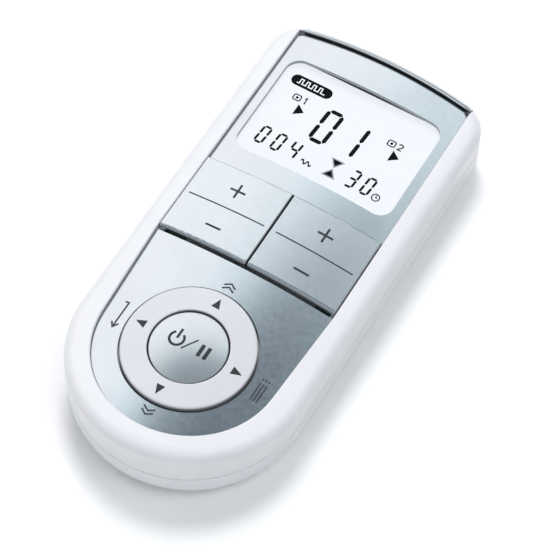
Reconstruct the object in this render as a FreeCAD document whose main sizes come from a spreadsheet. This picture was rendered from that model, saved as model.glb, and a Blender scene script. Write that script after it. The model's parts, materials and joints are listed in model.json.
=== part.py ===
import FreeCAD, Part
import math
import os
import Sketcher
from FreeCAD import Vector

# Handheld two-channel nerve stimulator, lying on its back, in millimetres.
# X runs across the case, Y towards the display end, Z out of the face.
# The origin is under the middle of the case, on the plane it lies on.

document = FreeCAD.newDocument("tens_unit")
sheet = document.addObject("Spreadsheet::Sheet", "dimensions")

DRIVING_DIMENSIONS = {
    # case
    "body_width": 63.0,
    "body_length": 132.0,
    "body_thickness": 22.5,
    "crown_radius": 150.0,
    "end_arch_radius": 312.0,
    "end_corner_radius": 9.0,
    "front_edge_radius": 3.4,
    "rear_edge_radius": 6.0,
    "parting_height": 10.5,
    "wall": 2.0,
    "cavity_top": 16.6,
    "cavity_edge_radius": 4.0,
    "seam_gap": 0.1,
    "seam_groove_height": 0.3,
    "seam_groove_depth": 0.3,
    # opening in the face, and the panels that lie in it
    "opening_half_width": 25.9,
    "opening_foot_radius": 24.4,
    "opening_foot_half_width": 24.35,
    "opening_foot_center": -35.1,
    "opening_top": 63.3,
    "opening_edge_radius": 0.5,
    "ledge_width": 1.5,
    "ledge_height": 17.85,
    "panel_gap": 0.2,
    "display_panel_depth": 1.15,
    "display_panel_thickness": 1.2,
    "display_panel_low": 15.9,
    "display_panel_corner": 2.6,
    "lower_panel_depth": 1.2,
    "lower_panel_thickness": 1.1,
    "lower_panel_high": -9.3,
    # display
    "window_half_width": 23.1,
    "window_low": 22.1,
    "window_high": 54.2,
    "window_corner": 4.0,
    "window_depth": 1.3,
    "window_thickness": 1.5,
    "window_gap": 0.1,
    "glass_half_width": 24.2,
    "glass_low": 19.6,
    "glass_high": 56.0,
    "glass_top": 17.7,
    "glass_thickness": 1.6,
    "gasket_width": 0.9,
    "gasket_thickness": 0.4,
    "holder_border": 3.4,
    "backlight_thickness": 0.9,
    "backlight_gap": 0.2,
    "zebra_width": 1.4,
    # channel rocker keys
    "key_half_gap": 0.22,
    "key_side_gap": 0.25,
    "key_low": -8.45,
    "key_high": 15.4,
    "key_skirt_bottom": 18.6,
    "key_wall": 1.3,
    "key_hollow_top": 19.6,
    "key_edge_radius": 0.3,
    "key_front_radius": 0.9,
    "key_pin_height": 18.45,
    "key_pin_radius": 0.8,
    "key_pin_gap": 0.05,
    "key_pin_inner": 3.9,
    "key_pin_outer": 22.1,
    "key_lug_inner": 8.0,
    "key_lug_outer": 18.0,
    "key_lug_width": 2.4,
    "key_lug_depth": 3.6,
    "key_lug_bottom": 17.45,
    "key_plunger_offset": 8.0,
    "key_plunger_across": 13.0,
    "key_plunger_radius": 1.5,
    "plunger_bottom": 17.45,
    "bridge_bottom": 16.3,
    "bridge_top": 17.2,
    "bridge_depth": 3.2,
    "bridge_post_width": 1.6,
    "bridge_post_inner": 4.9,
    "bridge_post_outer": 21.1,
    "bridge_post_top": 19.35,
    # direction ring and centre button
    "ring_center": -35.5,
    "ring_outer_radius": 17.1,
    "ring_inner_radius": 10.25,
    "ring_hole_radius": 17.6,
    "ring_depth": 0.1,
    "ring_bottom": 17.6,
    "ring_flange_radius": 18.2,
    "ring_flange_inner_radius": 16.1,
    "ring_flange_top": 18.3,
    "ring_outer_edge_radius": 0.7,
    "ring_inner_edge_radius": 0.35,
    "ring_web_inner_radius": 10.4,
    "ring_web_outer_radius": 12.4,
    "ring_web_bottom": 16.2,
    "ring_web_top": 16.9,
    "ring_plunger_distance": 14.6,
    "ring_plunger_root": 0.2,
    "button_radius": 9.95,
    "button_bottom": 17.65,
    "button_edge_height": 21.75,
    "button_rise": 0.85,
    "button_edge_radius": 0.3,
    # keypad and circuit board
    "board_bottom": 13.6,
    "board_thickness": 1.2,
    "board_half_width": 25.0,
    "board_high": 53.5,
    "board_foot_center": -34.5,
    "board_boss_notch_radius": 3.4,
    "keypad_thickness": 0.6,
    "keypad_half_width": 19.0,
    "keypad_corner": 18.0,
    "keypad_low": -52.5,
    "keypad_high": 14.4,
    "dome_top": 16.75,
    "dome_foot_radius": 2.0,
    "dome_head_radius": 1.5,
    # rear shell, battery bay and door
    "bay_half_width": 16.4,
    "bay_low": -50.6,
    "bay_high": -1.0,
    "bay_roof": 12.5,
    "bay_wall": 1.2,
    "bay_roof_thickness": 0.8,
    "door_half_width": 16.9,
    "door_high": -0.4,
    "door_thickness": 1.55,
    "door_gap": 0.15,
    "rail_width": 0.7,
    "rail_root": 1.0,
    "rail_low": -50.0,
    "rail_high": -2.0,
    "rail_bottom": 0.65,
    "rail_thickness": 0.5,
    "grip_half_length": 8.0,
    "grip_width": 0.8,
    "grip_pitch": 1.9,
    "grip_depth": 0.35,
    "grip_start": -51.0,
    "grip_count": 4,
    "clip_dock_half_width": 8.0,
    "clip_dock_low": 27.0,
    "clip_dock_high": 49.0,
    "clip_dock_depth": 1.6,
    "clip_dock_floor": 1.8,
    "clip_dock_border": 1.0,
    "clip_dock_lip": 0.8,
    "clip_dock_undercut": 1.0,
    "clip_dock_roof": 3.0,
    "label_half_width": 13.0,
    "label_low": 5.0,
    "label_high": 19.0,
    "label_recess": 0.25,
    "label_thickness": 0.15,
    # case screws, with their bosses
    "screw_across": 22.5,
    "screw_high": 59.3,
    "screw_low": -20.0,
    "boss_radius": 3.0,
    "rear_boss_radius": 3.4,
    "boss_root": 0.4,
    "screw_hole_radius": 1.25,
    "screw_pilot_radius": 1.02,
    "screw_shank_radius": 1.0,
    "screw_head_radius": 2.1,
    "screw_head_thickness": 1.5,
    "screw_head_recess_radius": 2.5,
    "screw_head_seat": 5.0,
    "screw_tip": 15.8,
    "screw_tip_room": 0.4,
    # board screws, with their columns
    "board_screw_across": 12.0,
    "board_screw_high": 17.2,
    "board_screw_low_across": 20.2,
    "board_screw_low": -45.0,
    "column_radius": 2.0,
    "board_screw_radius": 0.8,
    "board_screw_hole_radius": 0.84,
    "board_screw_head_radius": 1.5,
    "board_screw_head_thickness": 0.9,
    "board_screw_length": 5.0,
    "board_screw_tip_room": 0.5,
    # lead sockets
    "socket_across": 11.0,
    "socket_height": 9.4,
    "socket_radius": 3.2,
    "socket_back": 54.0,
    "socket_mouth": 65.6,
    "socket_bore_radius": 1.85,
    "socket_bore_length": 10.0,
    "socket_hole_gap": 0.05,
    "socket_flange_radius": 4.2,
    "socket_flange_thickness": 1.0,
    "socket_lip_radius": 0.3,
    # batteries
    "battery_radius": 5.25,
    "battery_can_length": 43.5,
    "battery_nub_radius": 1.9,
    "battery_nub_length": 1.0,
    "battery_pitch": 10.8,
    "battery_clearance": 0.25,
    "battery_edge_radius": 0.5,
    "contact_thickness": 0.4,
    "contact_gap": 0.05,
    "contact_height": 9.0,
    "contact_half_width": 4.95,
    "contact_lift": 0.4,
    "spring_wire_radius": 0.3,
    "spring_turns": 4,
    "spring_pitch": 0.48,
    "spring_foot_radius": 3.2,
    "spring_taper": 0.35,
    # board components
    "transformer_across": 11.0,
    "transformer_along": 31.0,
    "transformer_width": 14.0,
    "transformer_depth": 12.0,
    "transformer_height": 9.6,
    "coil_width": 9.8,
    "coil_height": 8.1,
    "capacitor_radius": 4.0,
    "capacitor_height": 9.0,
    "capacitor_along": 44.5,
    "capacitor_pitch": 9.0,
    "capacitor_edge_radius": 0.6,
    "buzzer_radius": 6.0,
    "buzzer_height": 4.5,
    "buzzer_across": -18.0,
    "buzzer_along": 10.5,
    "buzzer_hole_radius": 1.0,
    "chip_width": 12.0,
    "chip_height": 1.5,
    "chip_along": 10.5,
    "crystal_width": 4.8,
    "crystal_depth": 11.0,
    "crystal_height": 3.5,
    "crystal_across": 11.5,
    "crystal_along": 7.6,
    "transistor_width": 3.9,
    "transistor_depth": 6.1,
    "transistor_height": 2.3,
    "transistor_across": 20.5,
    "transistor_pitch": 9.5,
    "transistor_start": 21.5,
}

# how far a cut runs on past the solid it cuts
PAST = 1.0

for row, (name, size) in enumerate(DRIVING_DIMENSIONS.items(), start=1):
    sheet.set(f"A{row}", name)
    sheet.set(f"B{row}", str(size))
    sheet.setAlias(f"B{row}", name)
document.recompute()


class Dim:
    """A size that carries its number and the spreadsheet formula that it comes from."""

    def __init__(self, number, formula):
        self.number = number
        self.formula = formula

    def __add__(self, other):
        return Dim(self.number + number_of(other), f"({self.formula} + {formula_of(other)})")

    def __sub__(self, other):
        return Dim(self.number - number_of(other), f"({self.formula} - {formula_of(other)})")

    def __mul__(self, other):
        return Dim(self.number * number_of(other), f"({self.formula} * {formula_of(other)})")

    def __truediv__(self, other):
        return Dim(self.number / number_of(other), f"({self.formula} / {formula_of(other)})")

    def __neg__(self):
        return Dim(-self.number, f"(0 - {self.formula})")


def number_of(size):
    return size.number if isinstance(size, Dim) else float(size)


def formula_of(size):
    return size.formula if isinstance(size, Dim) else str(size)


def root(size):
    return Dim(math.sqrt(size.number), f"sqrt({size.formula})")


def dim(name):
    return Dim(float(sheet.get(name)), f"dimensions.{name}")


# ---------------------------------------------------------------- sketches

def new_body(label):
    body = document.addObject("PartDesign::Body", label)
    body.Label = label
    return body


def new_sketch(body, name, plane="XY_Plane", offset=0):
    """A sketch on an origin plane, moved along the plane's normal by offset."""
    sketch = body.newObject("Sketcher::SketchObject", name)
    support = next(item for item in body.Origin.OriginFeatures if item.Role == plane)
    sketch.AttachmentSupport = [(support, "")]
    sketch.MapMode = "FlatFace"
    sketch.setExpression(".AttachmentOffset.Base.z", formula_of(offset))
    return sketch


def add_size(sketch, constraint, size):
    index = sketch.addConstraint(constraint)
    sketch.renameConstraint(index, f"size_{index}")
    sketch.setExpression(f"Constraints.size_{index}", formula_of(size))


def place_point(sketch, geometry, position, x, y):
    """Ties a point of the sketch to its distances from the sketch's origin."""
    if number_of(x) == 0:
        sketch.addConstraint(Sketcher.Constraint("PointOnObject", geometry, position, -2))
    else:
        constraint = Sketcher.Constraint("DistanceX", -1, 1, geometry, position, number_of(x))
        add_size(sketch, constraint, x)
    if number_of(y) == 0:
        sketch.addConstraint(Sketcher.Constraint("PointOnObject", geometry, position, -1))
    else:
        constraint = Sketcher.Constraint("DistanceY", -1, 1, geometry, position, number_of(y))
        add_size(sketch, constraint, y)


def arc_between(start, end, radius):
    """The short arc from start to end: anticlockwise for a positive radius."""
    chord = end - start
    side = 1 if radius > 0 else -1
    reach = math.sqrt(max(radius ** 2 - (chord.Length / 2) ** 2, 0))
    across = Vector(-chord.y, chord.x, 0).normalize()
    center = (start + end) / 2 + across * reach * side
    if radius < 0:
        start, end = end, start
    first = math.atan2(start.y - center.y, start.x - center.x)
    last = math.atan2(end.y - center.y, end.x - center.x)
    circle = Part.Circle(center, Vector(0, 0, 1), abs(radius))
    return Part.ArcOfCircle(circle, first, last)


def draw_loop(sketch, corners):
    """Draws a closed loop of corners (x, y), or (x, y, radius) where an arc leads on."""
    first = sketch.GeometryCount
    count = len(corners)
    points = [Vector(number_of(corner[0]), number_of(corner[1]), 0) for corner in corners]
    turns = [number_of(corner[2]) if len(corner) == 3 else 0 for corner in corners]
    for index in range(count):
        following = points[(index + 1) % count]
        if turns[index]:
            sketch.addGeometry(arc_between(points[index], following, turns[index]), False)
        else:
            sketch.addGeometry(Part.LineSegment(points[index], following), False)
    for index, corner in enumerate(corners):
        before = (index - 1) % count
        start = 2 if turns[index] < 0 else 1
        end_before = 1 if turns[before] < 0 else 2
        sketch.addConstraint(
            Sketcher.Constraint("Coincident", first + before, end_before, first + index, start))
        place_point(sketch, first + index, start, corner[0], corner[1])
        if turns[index]:
            radius = corner[2] if turns[index] > 0 else -corner[2]
            constraint = Sketcher.Constraint("Radius", first + index, number_of(radius))
            add_size(sketch, constraint, radius)


def draw_circle(sketch, x, y, radius):
    index = sketch.GeometryCount
    center = Vector(number_of(x), number_of(y), 0)
    sketch.addGeometry(Part.Circle(center, Vector(0, 0, 1), number_of(radius)), False)
    place_point(sketch, index, 3, x, y)
    add_size(sketch, Sketcher.Constraint("Radius", index, number_of(radius)), radius)


def draw_box(sketch, left, right, low, high):
    draw_loop(sketch, [(left, low), (right, low), (right, high), (left, high)])


def draw_round_box(sketch, left, right, low, high, radius):
    draw_loop(sketch, [
        (left + radius, low), (right - radius, low, radius),
        (right, low + radius), (right, high - radius, radius),
        (right - radius, high), (left + radius, high, radius),
        (left, high - radius), (left, low + radius, radius),
    ])


# ---------------------------------------------------------------- features

def pad(body, sketch, height, downward=False):
    feature = body.newObject("PartDesign::Pad", f"{sketch.Name}_pad")
    feature.Profile = sketch
    feature.setExpression("Length", formula_of(height))
    feature.Reversed = downward
    document.recompute()
    return feature


def pocket(body, sketch, depth, upward=False):
    """Cuts below the sketch, or above it, and makes sure that something was cut."""
    volume = body.Shape.Volume
    feature = body.newObject("PartDesign::Pocket", f"{sketch.Name}_pocket")
    feature.Profile = sketch
    feature.setExpression("Length", formula_of(depth))
    feature.Reversed = upward
    document.recompute()
    if body.Shape.Volume > volume - 1e-6:
        raise RuntimeError(f"{sketch.Name} cuts nothing from {body.Label}")
    return feature


def fillet(body, name, radius, chosen):
    """Rounds the edges of the body's tip that the function chosen picks."""
    edges = [f"Edge{number}" for number, edge in enumerate(body.Tip.Shape.Edges, start=1)
             if chosen(edge)]
    feature = body.newObject("PartDesign::Fillet", name)
    feature.Base = (feature.BaseFeature, edges)
    feature.setExpression("Radius", formula_of(radius))
    document.recompute()
    return feature


def revolve(body, sketch, axis="V_Axis"):
    feature = body.newObject("PartDesign::Revolution", f"{sketch.Name}_revolution")
    feature.Profile = sketch
    feature.ReferenceAxis = (sketch, [axis])
    feature.Angle = 360
    document.recompute()
    return feature


def add_box(body, name, left, right, low, high, bottom, top):
    sketch = new_sketch(body, name, offset=bottom)
    draw_box(sketch, left, right, low, high)
    return pad(body, sketch, top - bottom)


def cut_box(body, name, left, right, low, high, bottom, top):
    sketch = new_sketch(body, name, offset=bottom)
    draw_box(sketch, left, right, low, high)
    return pocket(body, sketch, top - bottom, upward=True)


def add_cylinder(body, name, x, y, radius, bottom, top):
    sketch = new_sketch(body, name, offset=bottom)
    draw_circle(sketch, x, y, radius)
    return pad(body, sketch, top - bottom)


def cut_cylinder(body, name, x, y, radius, bottom, top):
    sketch = new_sketch(body, name, offset=bottom)
    draw_circle(sketch, x, y, radius)
    return pocket(body, sketch, top - bottom, upward=True)


# ---------------------------------------------------------------- derived sizes

half_width = dim("body_width") / 2
half_length = dim("body_length") / 2
thickness = dim("body_thickness")
parting = dim("parting_height")
wall = dim("wall")
crown_center = thickness - dim("crown_radius")
foot_center = half_width - half_length
arch_center = half_length - dim("end_arch_radius")
below_all = Dim(-1.0, "(0 - 1)")
above_all = thickness + 5
opening = dim("opening_half_width")
key_middle = (dim("key_low") + dim("key_high")) / 2
ring_y = dim("ring_center")
board_top = dim("board_bottom") + dim("board_thickness")
keypad_top = board_top + dim("keypad_thickness")
glass_bottom = dim("glass_top") - dim("glass_thickness")
board_high = dim("board_high")
battery_height = dim("door_thickness") + dim("battery_clearance") + dim("battery_radius")
screw_places = [(side, along) for side in (1, -1) for along in ("screw_high", "screw_low")]


def case_outline(sketch, inset):
    """The case seen from the front: straight sides, a round foot and an arched far end."""
    side = half_width - inset
    corner = dim("end_corner_radius") - inset
    arch = dim("end_arch_radius") - inset
    corner_x = half_width - dim("end_corner_radius")
    spread = dim("end_arch_radius") - dim("end_corner_radius")
    rise = root(spread * spread - corner_x * corner_x)
    touch_x = corner_x * arch / spread
    touch_y = arch_center + rise * arch / spread
    corner_y = arch_center + rise
    draw_loop(sketch, [
        (side, foot_center),
        (side, corner_y, corner),
        (touch_x, touch_y, arch),
        (-touch_x, touch_y, corner),
        (-side, corner_y),
        (-side, foot_center, side),
        (0, foot_center - side, side),
    ])


def arched_edge(sketch, reach, middle, limit):
    """The area between an edge that runs parallel to the far end, meeting Y at middle,
    and a straight line across at limit."""
    arch = dim("end_arch_radius") - (half_length - middle)
    edge = arch_center + root(arch * arch - reach * reach)
    draw_loop(sketch, [
        (reach, edge, arch),
        (0, middle, arch),
        (-reach, edge),
        (-reach, limit),
        (reach, limit),
    ])


def opening_foot(sketch, inset, high):
    """The lower part of the face opening, up to high: tapered sides and a round foot."""
    radius = dim("opening_foot_radius") - inset
    touch_x = dim("opening_foot_half_width") - inset
    center = dim("opening_foot_center")
    touch_y = center - root(radius * radius - touch_x * touch_x)
    side = opening - inset
    draw_loop(sketch, [
        (side, high),
        (-side, high),
        (-touch_x, touch_y, radius),
        (0, center - radius, radius),
        (touch_x, touch_y),
    ])


def cut_above_crown(body, name, depth):
    """Cuts away all that stands above the crowned face, lowered by depth."""
    radius = dim("crown_radius") - depth
    reach = half_width + PAST
    edge = crown_center + root(radius * radius - reach * reach)
    sketch = new_sketch(body, name, "XZ_Plane", half_length + PAST)
    draw_loop(sketch, [
        (reach, edge, radius),
        (0, crown_center + radius, radius),
        (-reach, edge),
        (-reach, above_all),
        (reach, above_all),
    ])
    return pocket(body, sketch, dim("body_length") + PAST * 2)


def cut_below_crown(body, name, depth):
    """Cuts away all that lies under the crowned face, lowered by depth."""
    radius = dim("crown_radius") - depth
    reach = half_width + PAST
    edge = crown_center + root(radius * radius - reach * reach)
    sketch = new_sketch(body, name, "XZ_Plane", half_length + PAST)
    draw_loop(sketch, [
        (reach, edge, radius),
        (0, crown_center + radius, radius),
        (-reach, edge),
        (-reach, below_all),
        (reach, below_all),
    ])
    return pocket(body, sketch, dim("body_length") + PAST * 2)


def cut_seam_groove(body):
    """Cuts the shallow step that runs round the case just above the parting line."""
    groove = new_sketch(body, f"{body.Name}_seam_groove", offset=parting)
    case_outline(groove, -PAST)
    case_outline(groove, dim("seam_groove_depth"))
    pocket(body, groove, dim("seam_groove_height"), upward=True)


def upper_case_block(body):
    """The upper half of the case as a solid block, with its crown and rounded edge."""
    sketch = new_sketch(body, f"{body.Name}_outline", offset=parting)
    case_outline(sketch, 0)
    pad(body, sketch, thickness - parting)
    cut_above_crown(body, f"{body.Name}_crown", 0)
    rim = number_of(parting) + 5
    fillet(body, f"{body.Name}_front_edge", dim("front_edge_radius"),
           lambda edge: edge.BoundBox.ZMin > rim)


def lower_case_block(body):
    """The lower half of the case as a solid block, with its rounded rear edge."""
    sketch = new_sketch(body, f"{body.Name}_outline")
    case_outline(sketch, 0)
    pad(body, sketch, parting)
    fillet(body, f"{body.Name}_rear_edge", dim("rear_edge_radius"),
           lambda edge: edge.BoundBox.ZMax < 1e-3)


def cut_sockets(body):
    """Cuts the two round openings that the lead sockets stand in."""
    for name, side in (("left", -1), ("right", 1)):
        sketch = new_sketch(body, f"{body.Name}_{name}_socket_hole", "XZ_Plane",
                            -(dim("socket_back")))
        draw_circle(sketch, dim("socket_across") * side, dim("socket_height"),
                    dim("socket_radius") + dim("socket_hole_gap"))
        pocket(body, sketch, half_length - dim("socket_back") + PAST)


# ---------------------------------------------------------------- front shell

def build_front_shell():
    """White U-shaped frame: two arms joined round the foot, open at the display end."""
    body = new_body("front_shell")
    upper_case_block(body)

    cavity = new_sketch(body, "front_cavity", offset=parting)
    case_outline(cavity, wall)
    pocket(body, cavity, dim("cavity_top") - parting, upward=True)

    far = half_length + PAST
    cut_box(body, "panel_recess", -opening, opening, dim("lower_panel_high"), far,
            dim("ledge_height"), above_all)
    foot_recess = new_sketch(body, "foot_recess", offset=dim("ledge_height"))
    opening_foot(foot_recess, 0, dim("lower_panel_high"))
    pocket(body, foot_recess, above_all - dim("ledge_height"), upward=True)
    face_side = number_of(opening) + 0.01
    ledge_top = number_of(dim("ledge_height")) + 0.01
    fillet(body, "opening_edge", dim("opening_edge_radius"),
           lambda edge: edge.BoundBox.ZMin > ledge_top and edge.BoundBox.XMax < face_side
           and edge.BoundBox.XMin > -face_side)

    ledge = dim("ledge_width")
    side = opening - ledge
    cut_box(body, "face_opening", -side, side, dim("lower_panel_high"),
            dim("opening_top") - ledge, dim("cavity_top") - PAST, above_all)
    foot_through = new_sketch(body, "foot_opening", offset=dim("cavity_top") - PAST)
    opening_foot(foot_through, ledge, dim("lower_panel_high"))
    pocket(body, foot_through, thickness - parting, upward=True)

    slot = new_sketch(body, "end_cap_slot", offset=parting - PAST)
    arched_edge(slot, opening, dim("opening_top") - dim("seam_gap"), far)
    pocket(body, slot, above_all, upward=True)
    cut_seam_groove(body)

    for side, along in screw_places:
        name = f"{along}_{'right' if side > 0 else 'left'}"
        x = dim("screw_across") * side
        y = dim(along)
        add_cylinder(body, f"front_boss_{name}", x, y, dim("boss_radius"), parting,
                     dim("ledge_height"))
        cut_cylinder(body, f"front_pilot_{name}", x, y, dim("screw_pilot_radius"), parting - PAST,
                     dim("screw_tip") + dim("screw_tip_room"))

    rib = dim("bridge_depth") / 2
    side_reach = half_width - wall
    add_box(body, "rocker_bridge", -side_reach, side_reach, key_middle - rib, key_middle + rib,
            dim("bridge_bottom"), dim("bridge_top"))
    for side in (1, -1):
        for place in ("inner", "outer"):
            x = dim(f"bridge_post_{place}") * side
            half = dim("bridge_post_width") / 2
            name = f"bridge_post_{place}_{'right' if side > 0 else 'left'}"
            add_box(body, name, x - half, x + half, key_middle - rib, key_middle + rib,
                    dim("bridge_top"), dim("bridge_post_top"))
    pin_hole = new_sketch(body, "rocker_pin_hole", "YZ_Plane", -dim("key_pin_outer") - PAST)
    draw_circle(pin_hole, key_middle, dim("key_pin_height"), dim("key_pin_radius"))
    pocket(body, pin_hole, (dim("key_pin_outer") + PAST) * 2, upward=True)
    return body


def build_end_cap():
    """Silver end wall between the two arms, with the lead socket openings."""
    body = new_body("end_cap")
    upper_case_block(body)
    far = half_length + PAST
    side = opening - dim("seam_gap")
    reach = half_width + PAST
    cut_box(body, "cap_right_side", side, reach, -far, far, parting - PAST, above_all)
    cut_box(body, "cap_left_side", -reach, -side, -far, far, parting - PAST, above_all)

    inner = new_sketch(body, "cap_inner_side", offset=parting - PAST)
    arched_edge(inner, reach, dim("opening_top"), -far)
    pocket(body, inner, above_all, upward=True)
    cut_seam_groove(body)
    cut_sockets(body)
    return body


# ---------------------------------------------------------------- face panels

def build_display_panel():
    """Thin crowned plate round the display window."""
    body = new_body("display_panel")
    side = opening - dim("panel_gap")
    top = dim("opening_top") - dim("panel_gap") * 2
    arch = dim("end_arch_radius") - (half_length - top)
    corner = dim("display_panel_corner")
    corner_x = side - corner
    spread = arch - corner
    rise = root(spread * spread - corner_x * corner_x)
    touch_x = corner_x * arch / spread
    touch_y = arch_center + rise * arch / spread
    low = dim("display_panel_low")
    outline = new_sketch(body, "display_panel_outline", offset=dim("cavity_top"))
    draw_loop(outline, [
        (side, low),
        (side, arch_center + rise, corner),
        (touch_x, touch_y, arch),
        (-touch_x, touch_y, corner),
        (-side, arch_center + rise),
        (-side, low),
    ])
    pad(body, outline, above_all - dim("cavity_top"))
    cut_above_crown(body, "display_panel_top", dim("display_panel_depth"))
    cut_below_crown(body, "display_panel_under",
                    dim("display_panel_depth") + dim("display_panel_thickness"))
    hole = new_sketch(body, "window_opening", offset=dim("cavity_top"))
    window = dim("window_half_width")
    draw_round_box(hole, -window, window, dim("window_low"), dim("window_high"),
                   dim("window_corner"))
    pocket(body, hole, above_all - dim("cavity_top"), upward=True)
    return body


def build_display_window():
    """Clear crowned pane set into the display panel."""
    body = new_body("display_window")
    gap = dim("window_gap")
    side = dim("window_half_width") - gap
    outline = new_sketch(body, "window_outline", offset=dim("cavity_top"))
    draw_round_box(outline, -side, side, dim("window_low") + gap, dim("window_high") - gap,
                   dim("window_corner") - gap)
    pad(body, outline, above_all - dim("cavity_top"))
    cut_above_crown(body, "window_top", dim("window_depth"))
    cut_below_crown(body, "window_under", dim("window_depth") + dim("window_thickness"))
    return body


def build_lower_panel():
    """Thin crowned plate round the direction ring."""
    body = new_body("lower_panel")
    outline = new_sketch(body, "lower_panel_outline", offset=dim("cavity_top"))
    opening_foot(outline, dim("panel_gap"), dim("lower_panel_high"))
    pad(body, outline, above_all - dim("cavity_top"))
    cut_above_crown(body, "lower_panel_top", dim("lower_panel_depth"))
    cut_below_crown(body, "lower_panel_under",
                    dim("lower_panel_depth") + dim("lower_panel_thickness"))
    cut_cylinder(body, "ring_hole", 0, ring_y, dim("ring_hole_radius"), dim("cavity_top"),
                 above_all)
    return body


# ---------------------------------------------------------------- display stack

def build_display_stack():
    """Glass, gasket, holder, backlight and contact strips under the window."""
    side = dim("glass_half_width")
    low = dim("glass_low")
    high = dim("glass_high")
    border = dim("holder_border")

    glass = new_body("lcd_glass")
    add_box(glass, "lcd_glass_plate", -side, side, low, high, glass_bottom, dim("glass_top"))

    gasket = new_body("lcd_gasket")
    rim = dim("gasket_width")
    gasket_top = dim("glass_top") + dim("gasket_thickness")
    add_box(gasket, "gasket_sheet", -side, side, low, high, dim("glass_top"), gasket_top)
    cut_box(gasket, "gasket_opening", rim - side, side - rim, low + rim, high - rim,
            dim("glass_top") - PAST, gasket_top + PAST)

    holder = new_body("lcd_holder")
    add_box(holder, "holder_block", -side, side, low, board_high, board_top, glass_bottom)
    cut_box(holder, "holder_opening", border - side, side - border, low + border,
            board_high - border, board_top - PAST, glass_bottom + PAST)
    strip = dim("zebra_width") / 2
    strip_y = low + border / 2
    cut_box(holder, "zebra_slot", border - side, side - border, strip_y - strip,
            strip_y + strip, board_top - PAST, glass_bottom + PAST)

    backlight = new_body("lcd_backlight")
    inset = border + dim("backlight_gap")
    add_box(backlight, "backlight_plate", inset - side, side - inset, low + inset,
            board_high - inset, glass_bottom - dim("backlight_thickness"), glass_bottom)

    zebra = new_body("lcd_contact_strip")
    add_box(zebra, "zebra_strip", border - side, side - border, strip_y - strip,
            strip_y + strip, board_top, glass_bottom)
    return [glass, gasket, holder, backlight, zebra]


# ---------------------------------------------------------------- rocker keys

def build_rocker(label, side):
    """Hollow rocker key with a plus end and a minus end, on two lugs over its pin."""
    body = new_body(label)
    inner = dim("key_half_gap") * side
    outer = (opening - dim("key_side_gap")) * side
    left, right = (inner, outer) if side > 0 else (outer, inner)
    low = dim("key_low")
    high = dim("key_high")
    bottom = dim("key_skirt_bottom")
    add_box(body, f"{label}_block", left, right, low, high, bottom, above_all)
    cut_above_crown(body, f"{label}_crown", 0)
    rim = number_of(bottom) + PAST
    front = number_of(low + dim("key_front_radius")) + 0.01
    fillet(body, f"{label}_front", dim("key_front_radius"),
           lambda edge: edge.BoundBox.ZMin > rim and edge.BoundBox.YMax < front)
    fillet(body, f"{label}_edge", dim("key_edge_radius"),
           lambda edge: edge.BoundBox.ZMin > rim and edge.BoundBox.YMax > front)
    skirt = dim("key_wall")
    cut_box(body, f"{label}_hollow", left + skirt, right - skirt, low + skirt, high - skirt,
            bottom - PAST, dim("key_hollow_top"))
    half = dim("key_lug_width") / 2
    depth = dim("key_lug_depth") / 2
    for place in ("inner", "outer"):
        x = dim(f"key_lug_{place}") * side
        add_box(body, f"{label}_{place}_lug", x - half, x + half, key_middle - depth,
                key_middle + depth, dim("key_lug_bottom"), dim("key_hollow_top"))
    bore = new_sketch(body, f"{label}_pin_bore", "YZ_Plane", left + skirt)
    draw_circle(bore, key_middle, dim("key_pin_height"),
                dim("key_pin_radius") + dim("key_pin_gap"))
    pocket(body, bore, right - left - skirt * 2, upward=True)
    for name, direction in (("plus", 1), ("minus", -1)):
        add_cylinder(body, f"{label}_{name}_plunger", dim("key_plunger_across") * side,
                     key_middle + dim("key_plunger_offset") * direction,
                     dim("key_plunger_radius"), dim("plunger_bottom"), dim("key_hollow_top"))
    return body


def build_rocker_pins():
    """One plain steel pin under each rocker key."""
    pins = []
    for name, side in (("left", -1), ("right", 1)):
        pin = document.addObject("Part::Cylinder", f"{name}_rocker_pin")
        pin.setExpression("Radius", formula_of(dim("key_pin_radius")))
        pin.setExpression("Height", formula_of(dim("key_pin_outer") - dim("key_pin_inner")))
        start = dim("key_pin_inner") if side > 0 else -dim("key_pin_outer")
        pin.Placement.Rotation = FreeCAD.Rotation(Vector(0, 1, 0), 90)
        pin.setExpression(".Placement.Base.x", formula_of(start))
        pin.setExpression(".Placement.Base.y", formula_of(key_middle))
        pin.setExpression(".Placement.Base.z", formula_of(dim("key_pin_height")))
        pins.append(pin)
    return group("rocker_pins", pins)


def group(label, members):
    """Several solids that share one node."""
    compound = document.addObject("Part::Compound", label)
    compound.Label = label
    compound.Links = members
    document.recompute()
    return compound


# ---------------------------------------------------------------- ring and button

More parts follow.
